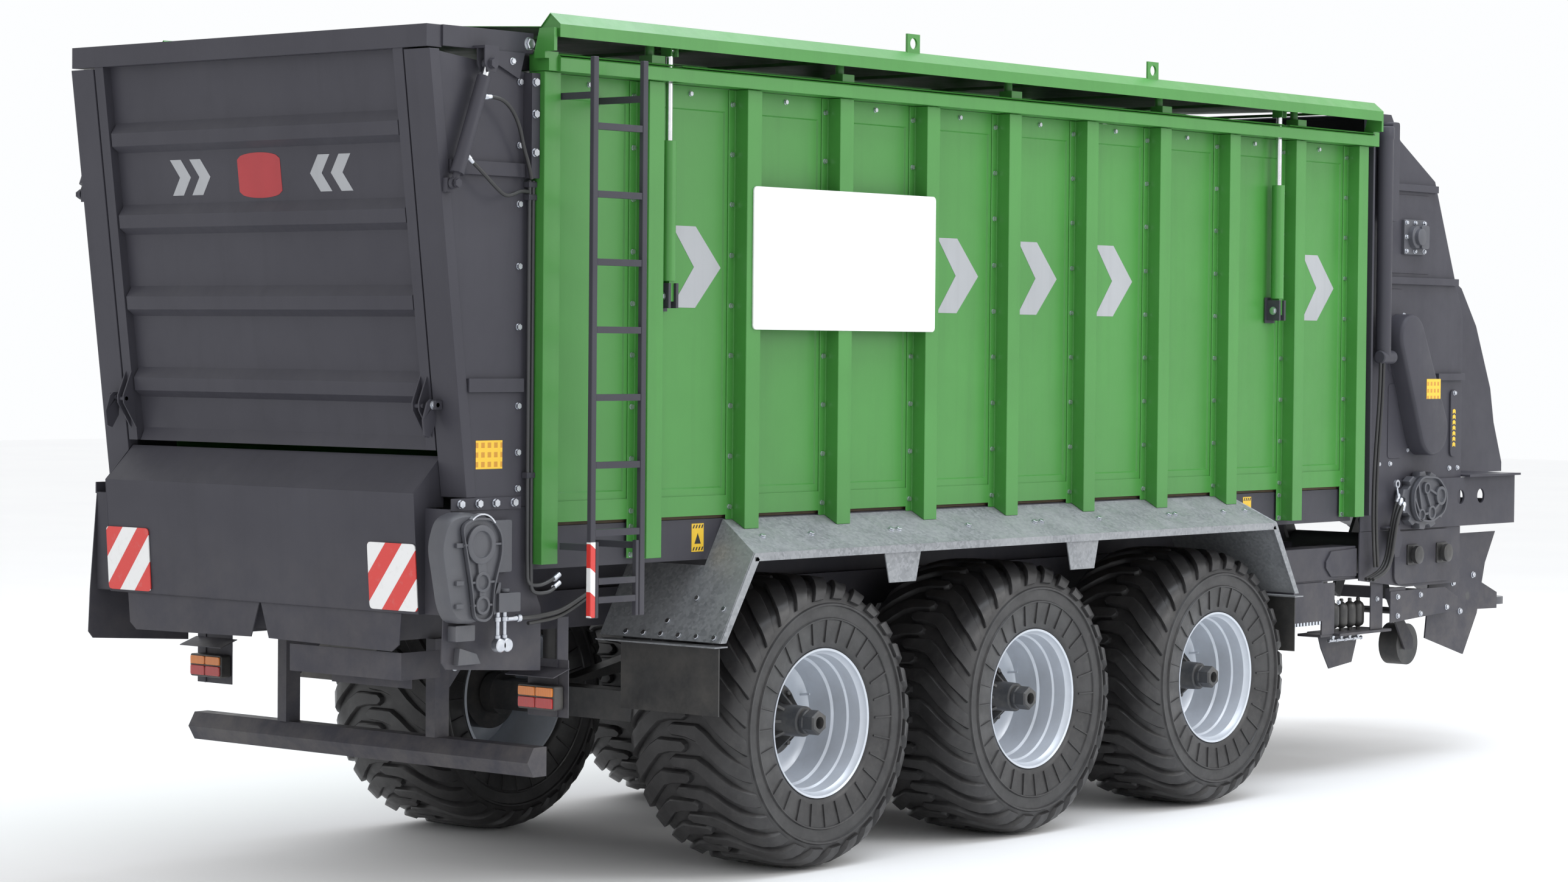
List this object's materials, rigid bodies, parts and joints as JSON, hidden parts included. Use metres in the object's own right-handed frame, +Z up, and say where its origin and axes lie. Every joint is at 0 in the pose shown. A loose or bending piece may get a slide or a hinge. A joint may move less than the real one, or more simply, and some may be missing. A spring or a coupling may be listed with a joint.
{
  "type": "grain cart",
  "caption": "Tridem farm trailer with a ribbed box body, roof covers, top-hinged tailgate, scraper floor, intake unit and drawbar.",
  "frame": {"origin": "on the ground, under the middle of the trailer's length and width", "axes": "+X towards the drawbar, +Y to the trailer's left, +Z up"},
  "size_m": [11.55, 2.917, 4.0749],
  "materials": {
    "green_paint": "gloss paint",
    "grey_paint": "satin paint",
    "cast_grey": "painted casting",
    "chrome_rod": "hard chrome",
    "zinc": "zinc plated",
    "hose_rubber": "matt black",
    "plank_wood": "worn planks",
    "white_plate": "plain white",
    "striped_board": "reflective stripes",
    "lamp_black": "moulded",
    "red_lens": "lens",
    "amber_lens": "lens",
    "tyre_rubber": "moulded rubber",
    "rim_silver": "silver paint"
  },
  "bodies": {
    "trailer": {"chassis_frame": "grey_paint", "axles": "grey_paint", "body_floor": "plank_wood", "side_walls": "green_paint", "side_posts": "green_paint", "top_rails": "green_paint", "body_bolts": "zinc", "sign_plate": "white_plate", "fenders": "grey_paint", "mud_flaps": "hose_rubber", "ladder_frame": "grey_paint", "rear_cheeks": "grey_paint", "rear_hood": "grey_paint", "rear_underframe": "grey_paint", "warning_boards": "striped_board", "lamp_housings": "lamp_black", "red_lenses": "red_lens", "amber_lenses": "amber_lens", "scraper_gearbox": "cast_grey", "pivot_pins": "grey_paint", "intake_sides": "grey_paint", "intake_front": "grey_paint", "chain_cover": "grey_paint", "feed_gearbox": "cast_grey", "hub_caps": "hose_rubber", "hydraulic_rack": "grey_paint", "accumulators": "cast_grey", "hydraulic_lines": "hose_rubber"},
    "ladder_step": {"ladder_step": "grey_paint"},
    "tailgate": {"tailgate_panel": "grey_paint", "tailgate_frame": "grey_paint"},
    "latch_hooks": {"latch_hooks": "grey_paint"},
    "lift_barrels": {"lift_barrels": "grey_paint"},
    "lift_rods": {"lift_rods": "chrome_rod"},
    "roof_cover_right": {"roof_cover_right": "green_paint"},
    "roof_cover_left": {"roof_cover_left": "green_paint"},
    "cover_barrels_right": {"cover_barrels_right": "green_paint"},
    "cover_barrels_left": {"cover_barrels_left": "green_paint"},
    "cover_rods_right": {"cover_rods_right": "chrome_rod"},
    "cover_rods_left": {"cover_rods_left": "chrome_rod"},
    "scraper_slats": {"scraper_slats": "grey_paint"},
    "scraper_shaft": {"scraper_shaft": "cast_grey"},
    "rotor": {"rotor": "cast_grey"},
    "pickup": {"pickup_frame": "grey_paint"},
    "pickup_reel": {"pickup_reel": "cast_grey"},
    "gauge_wheels": {"gauge_wheels": "hose_rubber"},
    "drawbar": {"drawbar": "grey_paint", "coupling": "cast_grey"},
    "wheel_rear_right": {"tyre_rear_right": "tyre_rubber", "wheel_rear_right": "rim_silver"},
    "wheel_rear_left": {"tyre_rear_left": "tyre_rubber", "wheel_rear_left": "rim_silver"},
    "wheel_middle_right": {"tyre_middle_right": "tyre_rubber", "wheel_middle_right": "rim_silver"},
    "wheel_middle_left": {"tyre_middle_left": "tyre_rubber", "wheel_middle_left": "rim_silver"},
    "wheel_front_right": {"tyre_front_right": "tyre_rubber", "wheel_front_right": "rim_silver"},
    "wheel_front_left": {"tyre_front_left": "tyre_rubber", "wheel_front_left": "rim_silver"}
  },
  "joints": [
    {"name": "ladder_step_slide", "type": "slide", "parent": "trailer", "child": "ladder_step", "axis": [0, 0, -1], "range_m": [0, 0.3]},
    {"name": "tailgate_swing", "type": "hinge", "parent": "trailer", "child": "tailgate", "pos_m": [-5.155, 0, 3.85], "axis": [0, 1, 0], "range_deg": [0, 75]},
    {"name": "latch_release", "type": "hinge", "parent": "trailer", "child": "latch_hooks", "pos_m": [-5.60698, 0, 2.255], "axis": [0, 1, 0], "range_deg": [0, 40]},
    {"name": "lift_barrel_tilt", "type": "hinge", "parent": "trailer", "child": "lift_barrels", "pos_m": [-5.661, 0, 3.215], "axis": [0, 1, 0], "range_deg": [-10, 10]},
    {"name": "lift_rod_slide", "type": "slide", "parent": "lift_barrels", "child": "lift_rods", "axis": [0.3564, 0, 0.9343], "range_m": [0, 0.3976]},
    {"name": "cover_right_swing", "type": "hinge", "parent": "trailer", "child": "roof_cover_right", "pos_m": [-1.615, -1.3, 3.9], "axis": [1, 0, 0], "range_deg": [0, 80]},
    {"name": "cover_barrel_right_tilt", "type": "hinge", "parent": "trailer", "child": "cover_barrels_right", "pos_m": [-1.615, -1.235, 2.75], "axis": [1, 0, 0], "range_deg": [-3, 5]},
    {"name": "cover_rod_right_slide", "type": "slide", "parent": "cover_barrels_right", "child": "cover_rods_right", "axis": [0, 0, 1], "range_m": [0, 0.1]},
    {"name": "cover_left_swing", "type": "hinge", "parent": "trailer", "child": "roof_cover_left", "pos_m": [-1.615, 1.3, 3.9], "axis": [-1, 0, 0], "range_deg": [0, 80]},
    {"name": "cover_barrel_left_tilt", "type": "hinge", "parent": "trailer", "child": "cover_barrels_left", "pos_m": [-1.615, 1.235, 2.75], "axis": [-1, 0, 0], "range_deg": [-3, 5]},
    {"name": "cover_rod_left_slide", "type": "slide", "parent": "cover_barrels_left", "child": "cover_rods_left", "axis": [0, 0, 1], "range_m": [0, 0.1]},
    {"name": "scraper_shaft_turn", "type": "hinge", "parent": "trailer", "child": "scraper_shaft", "pos_m": [-5.525, 0, 1.652], "axis": [0, -1, 0], "range_deg": [0, 274.5]},
    {"name": "scraper_slat_travel", "type": "slide", "parent": "trailer", "child": "scraper_slats", "axis": [-1, 0, 0], "range_m": [0, 0.42]},
    {"name": "wheel_rear_right_spin", "type": "hinge", "parent": "trailer", "child": "wheel_rear_right", "pos_m": [-3.246, -1.031, 0.71], "axis": [0, 1, 0], "continuous": true},
    {"name": "wheel_rear_left_spin", "type": "hinge", "parent": "trailer", "child": "wheel_rear_left", "pos_m": [-3.246, 1.031, 0.71], "axis": [0, 1, 0], "continuous": true},
    {"name": "wheel_middle_right_spin", "type": "hinge", "parent": "trailer", "child": "wheel_middle_right", "pos_m": [-1.524, -1.031, 0.71], "axis": [0, 1, 0], "continuous": true},
    {"name": "wheel_middle_left_spin", "type": "hinge", "parent": "trailer", "child": "wheel_middle_left", "pos_m": [-1.524, 1.031, 0.71], "axis": [0, 1, 0], "continuous": true},
    {"name": "wheel_front_right_spin", "type": "hinge", "parent": "trailer", "child": "wheel_front_right", "pos_m": [0.198, -1.031, 0.71], "axis": [0, 1, 0], "continuous": true},
    {"name": "wheel_front_left_spin", "type": "hinge", "parent": "trailer", "child": "wheel_front_left", "pos_m": [0.198, 1.031, 0.71], "axis": [0, 1, 0], "continuous": true},
    {"name": "rotor_turn", "type": "hinge", "parent": "trailer", "child": "rotor", "pos_m": [2.705, 0, 1.275], "axis": [0, 1, 0], "continuous": true},
    {"name": "pickup_lift", "type": "hinge", "parent": "trailer", "child": "pickup", "pos_m": [2.995, 0, 1.2], "axis": [0, 1, 0], "range_deg": [0, 18]},
    {"name": "pickup_reel_turn", "type": "hinge", "parent": "pickup", "child": "pickup_reel", "pos_m": [3.395, 0, 1], "axis": [0, 1, 0], "continuous": true},
    {"name": "gauge_wheel_turn", "type": "hinge", "parent": "pickup", "child": "gauge_wheels", "pos_m": [3.315, 0, 0.68], "axis": [0, 1, 0], "continuous": true},
    {"name": "drawbar_swing", "type": "hinge", "parent": "trailer", "child": "drawbar", "pos_m": [3.675, 0, 1.55], "axis": [0, 1, 0], "range_deg": [-8, 8]}
  ],
  "couplings": [
    {"joint": "lift_barrel_tilt", "follows": "tailgate_swing", "ratio": -0.01577},
    {"joint": "lift_rod_slide", "follows": "tailgate_swing", "m_per_rad": 0.30072},
    {"joint": "cover_barrel_right_tilt", "follows": "cover_right_swing", "ratio": 0.02128},
    {"joint": "cover_rod_right_slide", "follows": "cover_right_swing", "m_per_rad": 0.05688},
    {"joint": "cover_barrel_left_tilt", "follows": "cover_left_swing", "ratio": 0.02128},
    {"joint": "cover_rod_left_slide", "follows": "cover_left_swing", "m_per_rad": 0.05688},
    {"joint": "scraper_shaft_turn", "follows": "scraper_slat_travel", "rad_per_m": 11.364}
  ]
}
